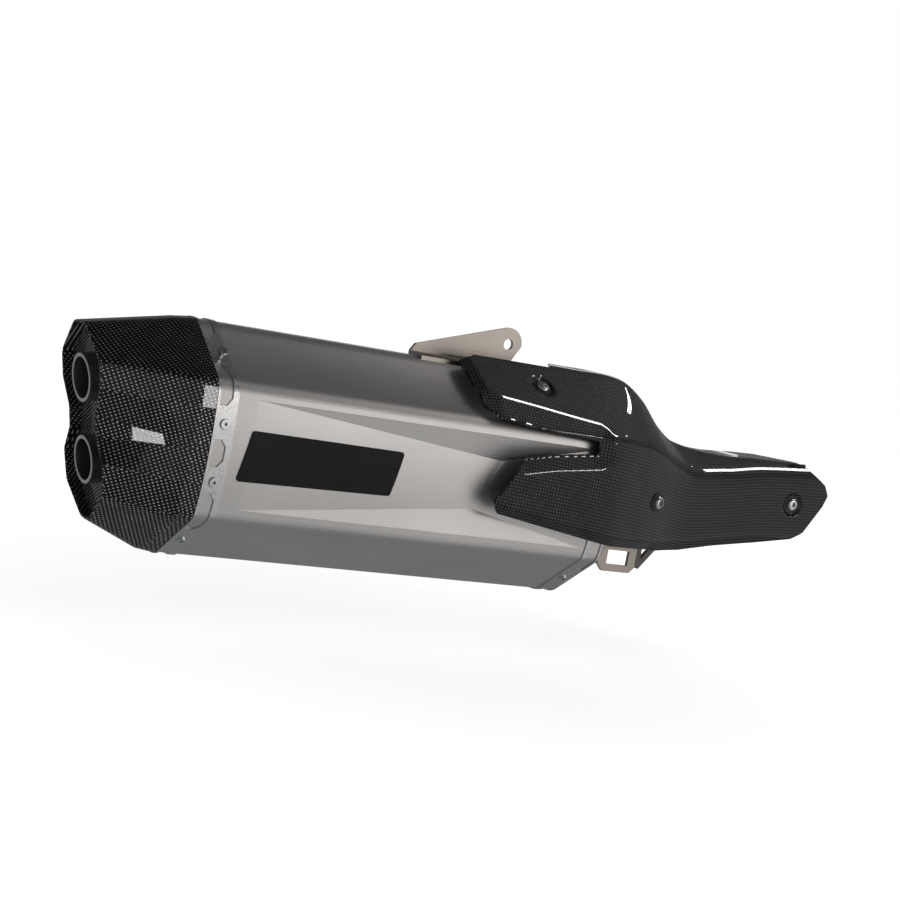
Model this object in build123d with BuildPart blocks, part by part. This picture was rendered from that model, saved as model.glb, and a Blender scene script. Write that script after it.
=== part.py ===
from build123d import *
import math
import os

os.makedirs("parts", exist_ok=True)

# Twin-outlet slip-on silencer with its link pipe and heat shield, for a motorcycle.
# Millimetres. The origin is the centre of the inlet's mouth, +X runs out of that mouth along its bore,
# +Z is up, and the side that faces away from the wheel is -Y.
# The silencer's own stations are measured forward from the joint between its sleeve and its end cap.

# ---------------------------------------------------------------- driving dimensions
INLET_STATION = 590  # inlet mouth, ahead of the end cap's joint
PIPE_RISE = 14  # inlet above the silencer's axis
SLEEVE_LENGTH = 362
SECTION_TOP = 88
SECTION_BOTTOM = -86
TOP_FLAT = 10  # half width of the flat along the top
BOTTOM_FLAT = 8
UPPER_CORNER_Z = 50
LOWER_CORNER_Z = -49
SIDE_HALF_WIDTH = 67.5  # at the crown of the side
SIDE_CROWN_Z = 8
SIDE_RADIUS = 250
SHOULDER_CROWN = 3.3  # how far the sloping shoulders bulge
TOP_FILLET = 18
CORNER_FILLET = 12

SHEET = 1.2  # sleeve, caps and baffles
BAND = 1.0  # riveted trim bands
CARBON = 2.0
GAP = 0.1  # between pieces that are fixed together

SCALLOP_START = 33  # pressed recess in the outer side
SCALLOP_DEEPEST = 243
SCALLOP_END = 341
SCALLOP_DEPTH = 8
SCALLOP_TOP = 40
SCALLOP_BOTTOM = -40.5
PANEL_HALF_HEIGHT = 20
SCALLOP_END_LEAN = 24.2

BAND_WIDTH = 16.5
WINDOW_REACH = 12  # of the band's windows, from its open edge
RIVET_SETBACK = 8.5
RIVET_HEAD_R = 4
RIVET_HEAD_HEIGHT = 1.2
RIVET_ROUNDING = 0.45
RIVET_SHANK_R = 2
RIVET_MANDREL_R = 1.2
RIVET_GRIP = 5.6  # length of the shank below the band's face

BADGE_GAUGE = 0.8

CAP_SKIRT = 14  # length of the end cap's almost straight part, ahead of its taper
CREASE_TOP = 86.8  # top and bottom of the end cap where its taper starts
CREASE_BOTTOM = -84.5
CAP_TONGUE = 14  # length of the end cap's tongue inside the sleeve
RIM_STATION = -69
RIM_LEAN = 11.8
RIM_RECESS = 8.5
CAP_FLANGE = 2.5
FRONT_DOME = 7
FRONT_ROUNDING = 8

OUTLET_R = 17.5
OUTLET_BORE_R = 15
OUTLET_WALL = 1.5
OUTLET_LIP = 6
OUTLET_LENGTH = 112
OUTLET_HEIGHTS = {"upper": 33.7, "lower": -25.5}  # up the rim's own plane

BULKHEAD_STATION = 16
BULKHEAD_FLANGE = 7
BAFFLE_STATION = 62
BAFFLE_FLANGE = 8
CORE_R = 28
CORE_WALL = 1
CORE_START = 59
CORE_END = 350
CORE_HOLE_R = 3
CORE_HOLES_ROUND = 8
CORE_RINGS = 11
CORE_FIRST_RING = 80
CORE_LAST_RING = 318
WOOL_REAR = 71
WOOL_FRONT = 330
WOOL_GAP = 1  # between the wool and the sleeve
WRAP = 3

PIPE_R = 30
PIPE_WALL = 1.2
PIPE_START = 338
PIPE_BEND_START = 440
PIPE_BEND_END = 520
PIPE_END = 548
PIPE_BEND_R = 110
INLET_BORE_R = 27.5
INLET_SLEEVE_START = 532
INLET_SLOT_LENGTH = 32
INLET_SLOT_WIDTH = 2.5

CLAMP_STATION = 566
CLAMP_WIDTH = 20
CLAMP_RUNNING_GAP = 0.3
CLAMP_GAUGE = 1.2
CLAMP_LUG_REACH = 19
CLAMP_LUG_GAUGE = 2.5
CLAMP_LUG_ROUNDING = 5
CLAMP_OPENING = 12
CLAMP_BOLT_R = 4
CLAMP_BOLT_LENGTH = 28
CLAMP_HEX_R = 7.5  # across the corners of the clamp's bolt and nut
CLAMP_HEAD_HEIGHT = 5.5
CLAMP_NUT_HEIGHT = 6.5
CLAMP_WASHER_R = 8
CLAMP_WASHER_GAUGE = 1.2
WELD_SIZE = 3

HANGER_GAUGE = 3
HANGER_Y = 8
HANGER_HOLE = (283, 108.5)
HANGER_HOLE_R = 4.5
HANGER_FOOT = (193, 240)
HANGER_FOOT_WIDTH = 21

BRACKET_GAUGE = 3
BRACKET_Y = -42
BRACKET_ENDS = (377, 417)
BRACKET_TOP = -29
WING_ANGLE = math.radians(28)

SCREW_R = 3
SCREW_HEAD_R = 5.5
SCREW_HEAD_HEIGHT = 3.3
SCREW_HEAD_ROUNDING = 2.4
SCREW_SOCKET_R = 2.3
SCREW_SOCKET_DEPTH = 2
SHIELD_HOLE_R = 5
BUSH_FLANGE = 1.5
BUSH_FLANGE_R = 7.5
WASHER_R = 8
WASHER_GAUGE = 1
BOSS_R = 7
NUT_R = 5.5
NUT_HEIGHT = 4
PAD_WIDTH = 16
PAD_GAUGE = 2.5
PAD_FRONT = 9  # reach of a bracket's pad ahead of its screw
CUP_R = 9.5
CUP_DEPTH = 3


# ---------------------------------------------------------------- planes and sections
def X(station):
    """X of a station of the silencer."""
    return station - INLET_STATION


def across(station, lean=0.0):
    """Plane across the silencer: local x is Y and local y is up; lean tips its top forward, in degrees."""
    tilt = math.radians(lean)
    return Plane(
        origin=(X(station), 0, -PIPE_RISE),
        x_dir=(0, 1, 0),
        z_dir=(math.cos(tilt), 0, -math.sin(tilt)),
    )


def side_view(y=0.0):
    """Plane along the silencer, seen from its outer side: local x is the station and local y is up."""
    return Plane(origin=(X(0), y, -PIPE_RISE), x_dir=(1, 0, 0), z_dir=(0, -1, 0))


def side_y(z):
    """Half width of the silencer's side at a height."""
    return SIDE_HALF_WIDTH - SIDE_RADIUS + math.sqrt(SIDE_RADIUS**2 - (z - SIDE_CROWN_Z) ** 2)


def section(plane, inset=0.0):
    """The silencer's cross-section on a plane, drawn in from the sleeve's outer skin by inset."""
    upper = side_y(UPPER_CORNER_Z)
    lower = side_y(LOWER_CORNER_Z)
    with BuildSketch(plane) as drawing:
        with BuildLine():
            Line((-TOP_FLAT, SECTION_TOP), (TOP_FLAT, SECTION_TOP))
            SagittaArc((TOP_FLAT, SECTION_TOP), (upper, UPPER_CORNER_Z), -SHOULDER_CROWN)
            ThreePointArc(
                (upper, UPPER_CORNER_Z), (SIDE_HALF_WIDTH, SIDE_CROWN_Z), (lower, LOWER_CORNER_Z)
            )
            Line((lower, LOWER_CORNER_Z), (BOTTOM_FLAT, SECTION_BOTTOM))
            Line((BOTTOM_FLAT, SECTION_BOTTOM), (-BOTTOM_FLAT, SECTION_BOTTOM))
            Line((-BOTTOM_FLAT, SECTION_BOTTOM), (-lower, LOWER_CORNER_Z))
            ThreePointArc(
                (-lower, LOWER_CORNER_Z), (-SIDE_HALF_WIDTH, SIDE_CROWN_Z), (-upper, UPPER_CORNER_Z)
            )
            SagittaArc((-upper, UPPER_CORNER_Z), (-TOP_FLAT, SECTION_TOP), -SHOULDER_CROWN)
        make_face()
        levels = drawing.vertices().group_by(Axis.Y)
        fillet(levels[-1] + levels[0], TOP_FILLET)
        side_corners = [v for v in drawing.vertices() if v.Y in (UPPER_CORNER_Z, LOWER_CORNER_Z)]
        fillet(side_corners, CORNER_FILLET)
        if inset:
            offset(amount=-inset, kind=Kind.INTERSECTION, mode=Mode.REPLACE)
    return drawing.sketch


def scallop_station(plane, z_top, z_bottom, inset):
    """Section of the tool that presses the side recess: its floor is the side's own curve, moved in."""
    middle = (z_top + z_bottom) / 2
    share = (SCALLOP_TOP - z_top) / (SCALLOP_TOP - PANEL_HALF_HEIGHT)
    depth = share * SCALLOP_DEPTH + inset
    lean = math.cos(math.radians(SCALLOP_END_LEAN)) if plane.z_dir.Z else 1
    outer = SIDE_HALF_WIDTH + 3 * SCALLOP_DEPTH
    top_slope = (SCALLOP_TOP - PANEL_HALF_HEIGHT) / (
        side_y(SCALLOP_TOP) - side_y(PANEL_HALF_HEIGHT) + SCALLOP_DEPTH
    )
    bottom_slope = (SCALLOP_BOTTOM + PANEL_HALF_HEIGHT) / (
        side_y(SCALLOP_BOTTOM) - side_y(-PANEL_HALF_HEIGHT) + SCALLOP_DEPTH
    )
    spread = inset * math.tan(math.atan(1 / top_slope) / 2)
    floor_top = side_y(z_top) - depth
    floor_bottom = side_y(z_bottom) - depth
    z_top += spread
    z_bottom -= spread
    with BuildSketch(plane) as drawing:
        with BuildLine():
            ThreePointArc(
                (-floor_top, z_top / lean),
                (-side_y(middle) + depth, middle / lean),
                (-floor_bottom, z_bottom / lean),
            )
            Polyline(
                (-floor_bottom, z_bottom / lean),
                (-outer, (z_bottom + (outer - floor_bottom) * bottom_slope) / lean),
                (-outer, (z_top + (outer - floor_top) * top_slope) / lean),
                (-floor_top, z_top / lean),
            )
        make_face()
    return drawing.sketch


def scallop(inset):
    """Tool of the side recess: a panel that deepens forward, and an end that comes back to the skin."""
    lead = 6  # the tool starts above the skin, this far behind the recess
    per_mm = (SCALLOP_TOP - PANEL_HALF_HEIGHT) / (SCALLOP_DEEPEST - SCALLOP_START)
    start = scallop_station(
        across(SCALLOP_START - lead), SCALLOP_TOP + lead * per_mm, SCALLOP_BOTTOM - lead * per_mm, inset
    )
    deepest = scallop_station(
        across(SCALLOP_DEEPEST, SCALLOP_END_LEAN), PANEL_HALF_HEIGHT, -PANEL_HALF_HEIGHT, inset
    )
    end = scallop_station(across(SCALLOP_END), SCALLOP_TOP + per_mm, SCALLOP_BOTTOM - per_mm, inset)
    with BuildPart() as tool:
        loft(sections=[start.face(), deepest.face()], ruled=True)
        loft(sections=[deepest.face(), end.face()], ruled=True)
    return tool.part


def body(inset, start, end):
    """Solid of the silencer between two stations, drawn in from the sleeve's outer skin by inset."""
    with BuildPart() as solid:
        extrude(section(across(start), inset), amount=end - start)
        if end > SCALLOP_START:
            add(scallop(inset), mode=Mode.SUBTRACT)
    return solid.part


def shoulder_point(share):
    """Point and outward angle on a sloping shoulder, share of the way from the top to the side."""
    y = TOP_FLAT + share * (side_y(UPPER_CORNER_Z) - TOP_FLAT)
    z = SECTION_TOP + share * (UPPER_CORNER_Z - SECTION_TOP)
    slope = math.atan2(side_y(UPPER_CORNER_Z) - TOP_FLAT, SECTION_TOP - UPPER_CORNER_Z)
    bulge = 4 * SHOULDER_CROWN * share * (1 - share)
    turn = math.atan(4 * SHOULDER_CROWN * (1 - 2 * share) / math.hypot(y - TOP_FLAT, SECTION_TOP - z) * share)
    return y + bulge * math.cos(slope), z + bulge * math.sin(slope), slope + turn


def side_point(z):
    """Point and outward angle on the silencer's side at a height."""
    return side_y(z), z, math.asin((z - SIDE_CROWN_Z) / SIDE_RADIUS)


def belly_point(share):
    """Point and outward angle on the flat lower slope, share of the way from the bottom to the side."""
    y = BOTTOM_FLAT + share * (side_y(LOWER_CORNER_Z) - BOTTOM_FLAT)
    z = SECTION_BOTTOM + share * (LOWER_CORNER_Z - SECTION_BOTTOM)
    return y, z, math.atan2(BOTTOM_FLAT - side_y(LOWER_CORNER_Z), LOWER_CORNER_Z - SECTION_BOTTOM)


def seat(station, point, side, height):
    """Plane on the silencer's skin at a point, facing out, raised by height; side is -1 or 1."""
    y, z, angle = point
    out = Vector(0, side * math.cos(angle), math.sin(angle))
    where = Vector(X(station), side * y, z - PIPE_RISE) + out * height
    return Plane(origin=where, x_dir=(1, 0, 0), z_dir=out)


RIVET_POINTS = (shoulder_point(0.58), side_point(20), side_point(-22), belly_point(0.42))
REAR_RIVETS = RIVET_SETBACK
FRONT_RIVETS = SLEEVE_LENGTH - RIVET_SETBACK


def rivet_seats(station, height=0.0):
    return [seat(station, point, side, height) for point in RIVET_POINTS for side in (-1, 1)]


def rim_section(inset):
    """Waisted outline of the end cap's rim, on its own plane, drawn in by inset."""
    half = [
        (11, 74.5), (37.5, 49.5), (37, 30), (26, 10),
        (26, -5), (38.5, -23), (35.5, -46), (8, -69),
    ]
    radii = [6, 7, 6, 4, 4, 3, 7, 8]
    return waisted_section(across(RIM_STATION, -RIM_LEAN), half, radii, inset)


def skirt_section(station, top, bottom, inset):
    """The end cap's section between its joint and its taper, with the same corners as its rim."""
    half = [
        (TOP_FLAT, top),
        (side_y(UPPER_CORNER_Z) + BAND, UPPER_CORNER_Z + BAND / 2),
        (side_y(30) + BAND, 30),
        (side_y(5) + BAND, 5),
        (side_y(0) + BAND, 0),
        (side_y(-24) + BAND, -24),
        (side_y(LOWER_CORNER_Z) + BAND, LOWER_CORNER_Z - BAND / 2),
        (BOTTOM_FLAT, bottom),
    ]
    radii = [TOP_FILLET, CORNER_FILLET, 20, 8, 8, 8, CORNER_FILLET, TOP_FILLET]
    return waisted_section(across(station), half, radii, inset)


def cap_shell(inset):
    """The end cap's outer form, drawn in by inset: a short skirt, then the taper to the rim."""
    joint = skirt_section(0, SECTION_TOP + BAND / 2, SECTION_BOTTOM - BAND / 2, inset)
    crease = skirt_section(-CAP_SKIRT, CREASE_TOP, CREASE_BOTTOM, inset)
    with BuildPart() as shell:
        loft(sections=[joint.face(), crease.face()], ruled=True)
        loft(sections=[crease.face(), rim_section(inset).face()], ruled=True)
    return shell.part


def waisted_section(plane, half, radii, inset):
    """Closed symmetrical outline through a half outline's rounded corners, drawn in by inset."""
    with BuildSketch(plane) as drawing:
        with BuildLine():
            Polyline(*half, *[(-y, z) for y, z in reversed(half)], close=True)
        make_face()
        for (y, z), radius in zip(half, radii):
            pair = [v for v in drawing.vertices() if math.dist((abs(v.X), v.Y), (y, z)) < GAP]
            fillet(pair, radius)
        if inset:
            offset(amount=-inset, kind=Kind.INTERSECTION, mode=Mode.REPLACE)
    return drawing.sketch


def outlet_plane(name, depth=0.0):
    """Plane across an outlet, at a depth inside the rim's plane."""
    rim = across(RIM_STATION, -RIM_LEAN)
    return Plane(
        origin=rim.origin + rim.y_dir * OUTLET_HEIGHTS[name] + rim.z_dir * depth,
        x_dir=rim.x_dir,
        z_dir=rim.z_dir,
    )


# ---------------------------------------------------------------- silencer body
with BuildPart() as outer_sleeve:
    add(body(0, 0, SLEEVE_LENGTH))
    add(body(SHEET, -1, SLEEVE_LENGTH + 1), mode=Mode.SUBTRACT)
    for plane in rivet_seats(REAR_RIVETS) + rivet_seats(FRONT_RIVETS):
        with BuildSketch(plane):
            Circle(RIVET_SHANK_R + GAP)
        extrude(amount=5, both=True, mode=Mode.SUBTRACT)


# The band's windows on one half: middle's y and z, the way it faces in degrees, and half its length.
WINDOWS = [
    (0, SECTION_TOP, 90, 26),
    (62, 50, 35.5, 19),
    (66, -1, 0, 12),
    (60, -48, -35.5, 20),
    (0, SECTION_BOTTOM, -90, 16),
]
WINDOW_LIP = 2  # rounding-off of a window beside the band's open edge
WINDOW_CHAMFER = (4, 5)


def make_band(start, open_end, rivet_station):
    """Trim band over one end of the sleeve, with chamfered windows between its rivets."""
    along = 1 if open_end == 0 else -1
    cut_x, cut_y = WINDOW_CHAMFER
    with BuildPart() as band:
        extrude(section(across(start), -BAND), amount=BAND_WIDTH)
        extrude(section(across(start - 1), 0), amount=BAND_WIDTH + 2, mode=Mode.SUBTRACT)
        for y, z, facing, half in WINDOWS:
            angle = math.radians(facing)
            end = half - WINDOW_LIP
            for side in (-1, 1):
                out = Vector(0, side * math.cos(angle), math.sin(angle))
                base = Vector(X(open_end), side * y, z - PIPE_RISE) - out * 12
                with BuildSketch(Plane(origin=base, x_dir=(along, 0, 0), z_dir=out)):
                    with BuildLine():
                        Polyline(
                            (WINDOW_LIP, end),
                            (WINDOW_REACH - cut_x, end),
                            (WINDOW_REACH, end - cut_y),
                            (WINDOW_REACH, cut_y - end),
                            (WINDOW_REACH - cut_x, -end),
                            (WINDOW_LIP, -end),
                            close=True,
                        )
                    make_face()
                extrude(amount=30, mode=Mode.SUBTRACT)
        for plane in rivet_seats(rivet_station):
            with BuildSketch(plane):
                Circle(RIVET_SHANK_R + GAP)
            extrude(amount=5, both=True, mode=Mode.SUBTRACT)
    return band


rear_band = make_band(0, 0, REAR_RIVETS)
front_band = make_band(SLEEVE_LENGTH - BAND_WIDTH, SLEEVE_LENGTH, FRONT_RIVETS)


def make_rivets(station):
    """Blind rivets through a band: a round head with the mandrel's hole, and a shank."""
    with BuildPart() as rivets:
        for plane in rivet_seats(station, BAND + RIVET_HEAD_HEIGHT):
            with BuildSketch(plane):
                Circle(RIVET_HEAD_R)
            extrude(amount=-RIVET_HEAD_HEIGHT - RIVET_ROUNDING)
        fillet(rivets.edges().filter_by(GeomType.CIRCLE), RIVET_ROUNDING)
        add(body(-BAND, station - 2 * RIVET_HEAD_R, station + 2 * RIVET_HEAD_R), mode=Mode.SUBTRACT)
        for plane in rivet_seats(station, BAND + RIVET_HEAD_HEIGHT / 3):
            with BuildSketch(plane):
                Circle(RIVET_SHANK_R)
            extrude(amount=-RIVET_GRIP - RIVET_HEAD_HEIGHT / 3)
        for plane in rivet_seats(station, BAND + RIVET_HEAD_HEIGHT):
            with BuildSketch(plane):
                Circle(RIVET_MANDREL_R)
            extrude(amount=-RIVET_HEAD_HEIGHT - BAND, mode=Mode.SUBTRACT)
    return rivets


rear_rivets = make_rivets(REAR_RIVETS)
front_rivets = make_rivets(FRONT_RIVETS)

with BuildPart() as name_badge:
    with BuildSketch(side_view(-45)):
        with BuildLine():
            Polyline((31.5, 18.2), (162.4, 16.8), (156.3, -17.5), (25, -19.4), close=True)
        make_face()
        fillet(vertices(), 2.5)
    extrude(amount=40)
    add(body(-BADGE_GAUGE, 5, 200), mode=Mode.INTERSECT)
    add(body(0, 4, 201), mode=Mode.SUBTRACT)

# ---------------------------------------------------------------- end cap and outlets
with BuildPart() as cap_inner:
    add(cap_shell(CARBON))
    split(bisect_by=across(RIM_STATION, -RIM_LEAN).offset(RIM_RECESS + CARBON), keep=Keep.TOP)
    split(bisect_by=across(-CAP_FLANGE), keep=Keep.BOTTOM)

with BuildPart() as end_cap:
    add(cap_shell(0))
    add(cap_inner.part, mode=Mode.SUBTRACT)
    add(body(SHEET + GAP, -CAP_FLANGE, CAP_TONGUE))
    add(body(SHEET + GAP + CARBON, -CAP_FLANGE - 1, CAP_TONGUE + 1), mode=Mode.SUBTRACT)
    extrude(rim_section(CARBON), amount=RIM_RECESS, both=True, mode=Mode.SUBTRACT)
    for name in OUTLET_HEIGHTS:
        with BuildSketch(outlet_plane(name)):
            Circle(OUTLET_R + GAP)
        extrude(amount=RIM_RECESS + 4 * CARBON, mode=Mode.SUBTRACT)
    for plane in rivet_seats(REAR_RIVETS):
        with BuildSketch(plane):
            Circle(RIVET_SHANK_R + GAP)
        extrude(amount=-8, mode=Mode.SUBTRACT)


def make_outlet(name):
    """Outlet tube, with an inner lip at its mouth."""
    with BuildPart() as outlet:
        with BuildSketch(outlet_plane(name)):
            Circle(OUTLET_R)
            Circle(OUTLET_BORE_R, mode=Mode.SUBTRACT)
        extrude(amount=OUTLET_LENGTH)
        with BuildSketch(outlet_plane(name, OUTLET_LIP)):
            Circle(OUTLET_R - OUTLET_WALL)
        extrude(amount=OUTLET_LENGTH, mode=Mode.SUBTRACT)
    return outlet


outlet_tube_upper = make_outlet("upper")
outlet_tube_lower = make_outlet("lower")


# ---------------------------------------------------------------- inside the silencer
def dish(station, depth):
    """Pressed plate across the inside of the sleeve, with its flange turned forward."""
    with BuildPart() as plate:
        add(body(SHEET + GAP, station, station + depth))
        add(body(2 * SHEET + GAP, station + SHEET, station + depth + 1), mode=Mode.SUBTRACT)
    return plate.part


with BuildPart() as rear_bulkhead:
    add(dish(BULKHEAD_STATION, BULKHEAD_FLANGE))
    for name in OUTLET_HEIGHTS:
        with BuildSketch(outlet_plane(name)):
            Circle(OUTLET_R + GAP)
        extrude(amount=OUTLET_LENGTH, mode=Mode.SUBTRACT)

with BuildPart() as mid_baffle:
    add(dish(BAFFLE_STATION, BAFFLE_FLANGE))
    with BuildSketch(across(CORE_START)):
        Circle(CORE_R + GAP)
    extrude(amount=2 * BAFFLE_FLANGE, mode=Mode.SUBTRACT)

with BuildPart() as perforated_core:
    with BuildSketch(across(CORE_START)):
        Circle(CORE_R)
        Circle(CORE_R - CORE_WALL, mode=Mode.SUBTRACT)
    extrude(amount=CORE_END - CORE_START)
    ring_pitch = (CORE_LAST_RING - CORE_FIRST_RING) / (CORE_RINGS - 1)
    for ring in range(CORE_RINGS):
        centre = Vector(X(CORE_FIRST_RING + ring * ring_pitch), 0, -PIPE_RISE)
        for step in range(CORE_HOLES_ROUND):
            angle = 2 * math.pi * (step + ring % 2 / 2) / CORE_HOLES_ROUND
            out = Vector(0, math.cos(angle), math.sin(angle))
            start = centre + out * (CORE_R - 3 * CORE_WALL)
            with BuildSketch(Plane(origin=start, x_dir=(1, 0, 0), z_dir=out)):
                Circle(CORE_HOLE_R)
            extrude(amount=6 * CORE_WALL, mode=Mode.SUBTRACT)

with BuildPart() as steel_wool_wrap:
    with BuildSketch(across(WOOL_REAR)):
        Circle(CORE_R + GAP + WRAP)
        Circle(CORE_R + GAP, mode=Mode.SUBTRACT)
    extrude(amount=WOOL_FRONT - WOOL_REAR)

with BuildPart() as damping_wool:
    add(body(SHEET + WOOL_GAP, WOOL_REAR, WOOL_FRONT))
    with BuildSketch(across(BAFFLE_STATION)):
        Circle(CORE_R + 2 * GAP + WRAP)
    extrude(amount=WOOL_FRONT, mode=Mode.SUBTRACT)


def front_block(inset, start, end, rounding):
    """Block inside the sleeve's front end, with its front edge rounded."""
    with BuildPart() as block:
        extrude(section(across(start), inset), amount=end - start)
        fillet(block.edges().group_by(Axis.X)[-1], rounding)
    return block.part


with BuildPart() as front_cap:
    add(front_block(SHEET + GAP, SLEEVE_LENGTH - BAND_WIDTH, SLEEVE_LENGTH + FRONT_DOME, FRONT_ROUNDING))
    add(
        front_block(
            2 * SHEET + GAP,
            SLEEVE_LENGTH - BAND_WIDTH - 1,
            SLEEVE_LENGTH + FRONT_DOME - SHEET,
            FRONT_ROUNDING - SHEET,
        ),
        mode=Mode.SUBTRACT,
    )
    with BuildSketch(across(SLEEVE_LENGTH - 2)):
        Circle(PIPE_R + GAP)
    extrude(amount=30, mode=Mode.SUBTRACT)
    for plane in rivet_seats(FRONT_RIVETS):
        with BuildSketch(plane):
            Circle(RIVET_SHANK_R + GAP)
        extrude(amount=-8, mode=Mode.SUBTRACT)


# ---------------------------------------------------------------- link pipe and inlet
def pipe_bar(radius, start=PIPE_START, end=PIPE_END):
    """Round bar along the link pipe's centreline."""
    with BuildPart() as bar:
        with BuildLine(side_view()):
            FilletPolyline(
                (start, 0),
                (PIPE_BEND_START, 0),
                (PIPE_BEND_END, PIPE_RISE),
                (end, PIPE_RISE),
                radius=PIPE_BEND_R,
            )
        with BuildSketch(across(start)):
            Circle(radius)
        sweep()
    return bar.part


with BuildPart() as link_pipe:
    add(pipe_bar(PIPE_R))
    add(pipe_bar(PIPE_R - PIPE_WALL, PIPE_START - 2, PIPE_END + 2), mode=Mode.SUBTRACT)

INLET_OUTER_R = PIPE_R - PIPE_WALL - GAP
with BuildPart() as inlet_sleeve:
    with BuildSketch(Plane.YZ.offset(X(INLET_SLEEVE_START))):
        Circle(INLET_OUTER_R)
        Circle(INLET_BORE_R, mode=Mode.SUBTRACT)
    extrude(amount=INLET_STATION - INLET_SLEEVE_START)
    with BuildSketch(Plane.YZ):
        with PolarLocations(INLET_BORE_R, 4, start_angle=45):
            Rectangle(10, INLET_SLOT_WIDTH)
    extrude(amount=-INLET_SLOT_LENGTH, mode=Mode.SUBTRACT)


def weld_bead(station, radius, size, axis_z):
    """Fillet weld around the pipe, in front of a face that stands across it."""
    edge = station + GAP / 2
    foot = axis_z + radius + GAP / 2
    with BuildPart() as bead:
        with BuildSketch(side_view()):
            with BuildLine():
                Line((edge, foot), (edge + size, foot))
                ThreePointArc(
                    (edge + size, foot), (edge + 0.65 * size, foot + 0.65 * size), (edge, foot + size)
                )
                Line((edge, foot + size), (edge, foot))
            make_face()
        revolve(axis=Axis((0, 0, axis_z - PIPE_RISE), (1, 0, 0)))
    return bead.part


with BuildPart() as weld_beads:
    add(weld_bead(SLEEVE_LENGTH + FRONT_DOME, PIPE_R, WELD_SIZE, 0))
    add(weld_bead(PIPE_END, INLET_OUTER_R, PIPE_WALL, PIPE_RISE))

# ---------------------------------------------------------------- inlet clamp
CLAMP_X = X(CLAMP_STATION)
CLAMP_INNER_R = INLET_OUTER_R + CLAMP_RUNNING_GAP
CLAMP_OUTER_R = CLAMP_INNER_R + CLAMP_GAUGE
LUG_END = CLAMP_INNER_R + CLAMP_LUG_REACH
LUG_FACE = CLAMP_OPENING / 2 + CLAMP_LUG_GAUGE
LUG_OVERLAP = 2  # each lug starts inside the band
BOLT_Y = CLAMP_OUTER_R + 10
BOLT_X = CLAMP_X + CLAMP_WIDTH / 2
BOLT_HOLE_R = CLAMP_BOLT_R + CLAMP_RUNNING_GAP
clamp_side = Plane(origin=(CLAMP_X, 0, 0), x_dir=(0, 1, 0), z_dir=(1, 0, 0))

with BuildPart() as clamp_band:
    with BuildSketch(clamp_side):
        Circle(CLAMP_OUTER_R)
        with Locations((CLAMP_OUTER_R, 0)):
            Rectangle(2 * CLAMP_OUTER_R, CLAMP_OPENING, mode=Mode.SUBTRACT)
        for side in (-1, 1):
            lug_middle = (CLAMP_OUTER_R - LUG_OVERLAP + LUG_END) / 2
            with Locations((lug_middle, side * (LUG_FACE - CLAMP_LUG_GAUGE / 2))):
                Rectangle(LUG_END - CLAMP_OUTER_R + LUG_OVERLAP, CLAMP_LUG_GAUGE)
        Circle(CLAMP_INNER_R, mode=Mode.SUBTRACT)
    extrude(amount=CLAMP_WIDTH)
    lug_corners = clamp_band.edges().filter_by(Axis.Z).group_by(Axis.Y)[-1]
    fillet(lug_corners, CLAMP_LUG_ROUNDING)
    with BuildSketch(Plane(origin=(BOLT_X, BOLT_Y, 0))):
        Circle(BOLT_HOLE_R)
    extrude(amount=2 * LUG_FACE, both=True, mode=Mode.SUBTRACT)

with BuildPart() as clamp_nut:
    with BuildSketch(Plane(origin=(BOLT_X, BOLT_Y, -LUG_FACE))):
        RegularPolygon(CLAMP_HEX_R, 6)
        Circle(BOLT_HOLE_R, mode=Mode.SUBTRACT)
    extrude(amount=-CLAMP_NUT_HEIGHT)

with BuildPart() as clamp_washer:
    with BuildSketch(Plane(origin=(BOLT_X, BOLT_Y, LUG_FACE))):
        Circle(CLAMP_WASHER_R)
        Circle(BOLT_HOLE_R, mode=Mode.SUBTRACT)
    extrude(amount=CLAMP_WASHER_GAUGE)

BOLT_HEAD_Z = LUG_FACE + CLAMP_WASHER_GAUGE + CLAMP_RUNNING_GAP
with BuildPart() as clamp_bolt:
    with BuildSketch(Plane(origin=(BOLT_X, BOLT_Y, BOLT_HEAD_Z))):
        RegularPolygon(CLAMP_HEX_R, 6)
    extrude(amount=CLAMP_HEAD_HEIGHT)
    chamfer(clamp_bolt.edges().group_by(Axis.Z)[-1], 0.6)
    with BuildSketch(Plane(origin=(BOLT_X, BOLT_Y, BOLT_HEAD_Z))):
        Circle(CLAMP_BOLT_R)
    extrude(amount=-CLAMP_BOLT_LENGTH)
    chamfer(clamp_bolt.edges().group_by(Axis.Z)[0], 0.8)

# ---------------------------------------------------------------- brackets
foot_rear, foot_front = HANGER_FOOT
with BuildPart() as hanger_foot:
    with BuildSketch(side_view(HANGER_Y + HANGER_GAUGE / 2)):
        with Locations(((foot_rear + foot_front) / 2, SECTION_TOP)):
            Rectangle(foot_front - foot_rear, 4 * HANGER_GAUGE)
    extrude(amount=HANGER_FOOT_WIDTH)
    add(body(-HANGER_GAUGE, foot_rear - 1, foot_front + 1), mode=Mode.INTERSECT)

with BuildPart() as hanger_plate:
    with BuildSketch(side_view(HANGER_Y + HANGER_GAUGE / 2)):
        with BuildLine():
            Polyline((foot_rear, 80), (foot_rear, 91), (foot_rear + 4, 97), (279, 121.5))
            ThreePointArc((279, 121.5), (292.5, 117.7), (296, 108.5))
            Polyline((296, 108.5), (286, 92), (250, 89), (foot_front, 80), (foot_rear, 80))
        make_face()
        with Locations(HANGER_HOLE):
            Circle(HANGER_HOLE_R, mode=Mode.SUBTRACT)
    extrude(amount=HANGER_GAUGE)
    add(hanger_foot.part)
    add(body(0, foot_rear - 5, 300), mode=Mode.SUBTRACT)

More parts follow.
